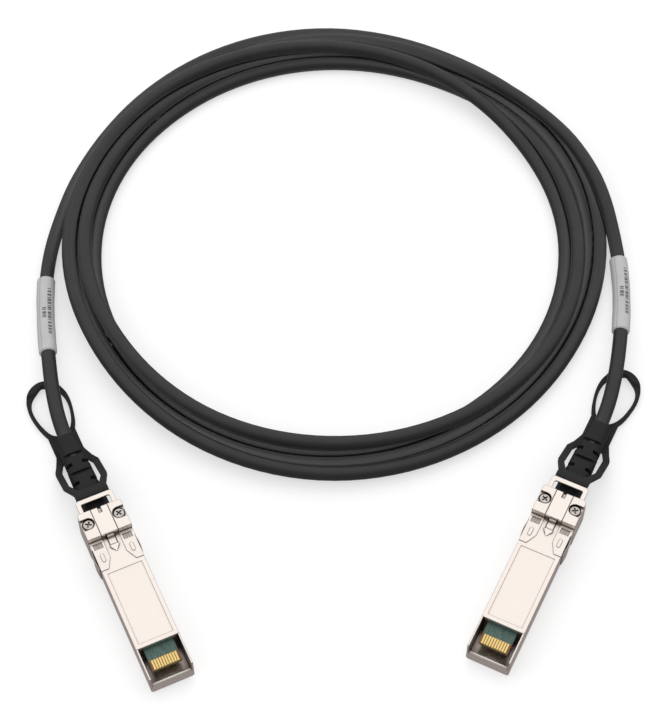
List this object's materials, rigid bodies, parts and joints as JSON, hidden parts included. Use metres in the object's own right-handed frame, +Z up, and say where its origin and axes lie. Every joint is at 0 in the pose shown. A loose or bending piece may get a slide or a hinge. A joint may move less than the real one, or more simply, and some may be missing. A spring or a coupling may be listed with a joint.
{
  "type": "direct attach copper cable",
  "caption": "Coiled twin-axial copper network cable with a small pluggable metal plug, latch slider, pull tab and boot on each end.",
  "frame": {"origin": "on the floor at the middle of the two plugs", "axes": "+X from plug a to plug b, +Y from the plugs to the coil, +Z up"},
  "size_m": [0.194, 0.2539, 0.0123],
  "materials": {
    "die_casting": "satin nickel plate on zinc casting",
    "screw_steel": "bright nickel",
    "spring_sheet": "satin nickel-plated spring sheet",
    "slider_metal": "satin nickel plate",
    "tab_plastic": "matt, fine texture",
    "card_laminate": "satin solder mask",
    "pad_gold": "hard gold plate",
    "component_black": "matt",
    "pair_foil": "foil wrap",
    "wire_silver": "silver-plated copper",
    "ferrule_brass": "plain",
    "boot_rubber": "matt moulding",
    "cable_jacket": "satin extruded jacket",
    "label_film": "satin film"
  },
  "bodies": {
    "cable_assembly": {"base_shell_a": "die_casting", "base_shell_b": "die_casting", "cover_shell_a": "die_casting", "cover_shell_b": "die_casting", "cover_screws_a": "screw_steel", "cover_screws_b": "screw_steel", "emi_collar_a": "spring_sheet", "emi_collar_b": "spring_sheet", "return_spring_a": "spring_sheet", "return_spring_b": "spring_sheet", "paddle_card_a": "card_laminate", "paddle_card_b": "card_laminate", "contact_pads_a": "pad_gold", "contact_pads_b": "pad_gold", "card_components_a": "component_black", "card_components_b": "component_black", "signal_pairs_a": "pair_foil", "signal_pairs_b": "pair_foil", "conductors_a": "wire_silver", "conductors_b": "wire_silver", "crimp_ferrule_a": "ferrule_brass", "crimp_ferrule_b": "ferrule_brass", "strain_boot_a": "boot_rubber", "strain_boot_b": "boot_rubber", "cable_coil": "cable_jacket", "cable_leg_a": "cable_jacket", "cable_leg_b": "cable_jacket", "label_sleeve_a": "label_film", "label_sleeve_b": "label_film"},
    "latch_a": {"latch_slider_a": "slider_metal", "pull_tab_a": "tab_plastic"},
    "latch_b": {"latch_slider_b": "slider_metal", "pull_tab_b": "tab_plastic"}
  },
  "joints": [
    {"name": "latch_a_pull", "type": "slide", "parent": "cable_assembly", "child": "latch_a", "axis": [-0.4163, 0.9092, 0], "range_m": [0, 0.0022], "stiffness_N_per_m": 600, "springref_m": -0.001, "deforming": ["return_spring_a"]},
    {"name": "latch_b_pull", "type": "slide", "parent": "cable_assembly", "child": "latch_b", "axis": [0.4352, 0.9003, 0], "range_m": [0, 0.0022], "stiffness_N_per_m": 600, "springref_m": -0.001, "deforming": ["return_spring_b"]}
  ]
}
